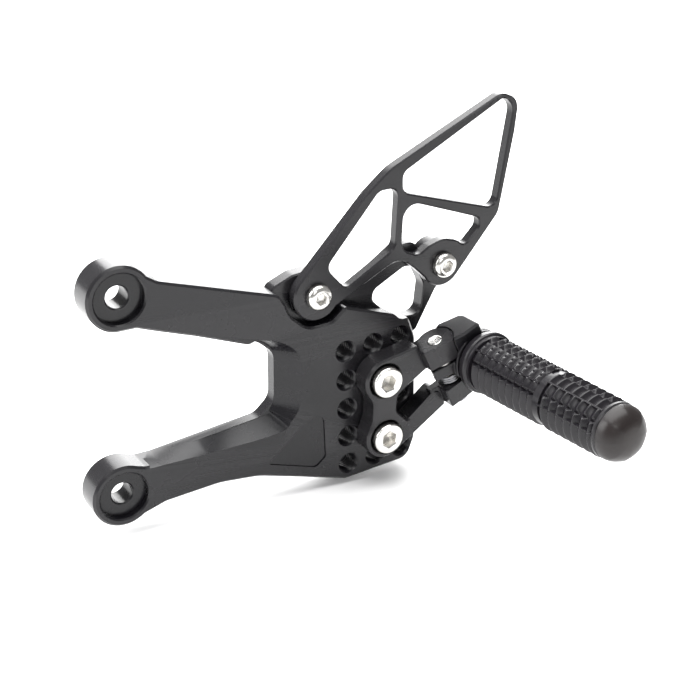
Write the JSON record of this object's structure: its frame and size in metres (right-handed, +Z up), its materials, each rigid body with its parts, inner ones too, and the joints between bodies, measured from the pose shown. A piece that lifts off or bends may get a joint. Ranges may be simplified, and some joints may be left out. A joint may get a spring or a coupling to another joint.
{
  "type": "motorcycle foot peg assembly",
  "caption": "Rear-set foot peg: forked frame bracket with a window-cut heel guard and a hanger holding a sprung folding peg with a ribbed barrel.",
  "frame": {"origin": "on the upper frame bolt's axis, on the back face of the bracket, which bears on the motorcycle's frame", "axes": "+X to the rear along the bracket's plate, +Y inwards to the motorcycle, +Z up; the peg points to -Y"},
  "size_m": [0.1839, 0.1215, 0.1568],
  "materials": {
    "black_anodised": "satin black anodised, machined",
    "stainless": "bright turned stainless",
    "spring_steel": "dark oiled",
    "bronze": "plain bearing bronze"
  },
  "bodies": {
    "frame": {"frame_bracket": "black_anodised", "heel_guard": "black_anodised", "guard_screw_front": "stainless", "guard_screw_rear": "stainless", "peg_hanger": "black_anodised", "mount_screw_upper": "stainless", "mount_screw_lower": "stainless", "hinge_pin": "stainless", "pin_clip": "spring_steel", "thrust_washer": "stainless", "return_spring": "spring_steel"},
    "peg": {"peg_knuckle": "black_anodised", "hinge_bush": "bronze", "barrel_spacer": "black_anodised", "peg_barrel": "black_anodised", "barrel_dowel": "stainless", "peg_bolt_washer": "stainless", "peg_bolt": "stainless", "peg_end_cap": "black_anodised"}
  },
  "joints": [
    {"name": "peg_fold", "type": "hinge", "parent": "frame", "child": "peg", "pos_m": [0.1308, -0.0223, -0.0353], "axis": [-0.4617, 0, 0.887], "range_deg": [0, 55], "stiffness_Nm_per_rad": 0.25, "springref_deg": -45.84, "deforming": ["return_spring"]}
  ]
}
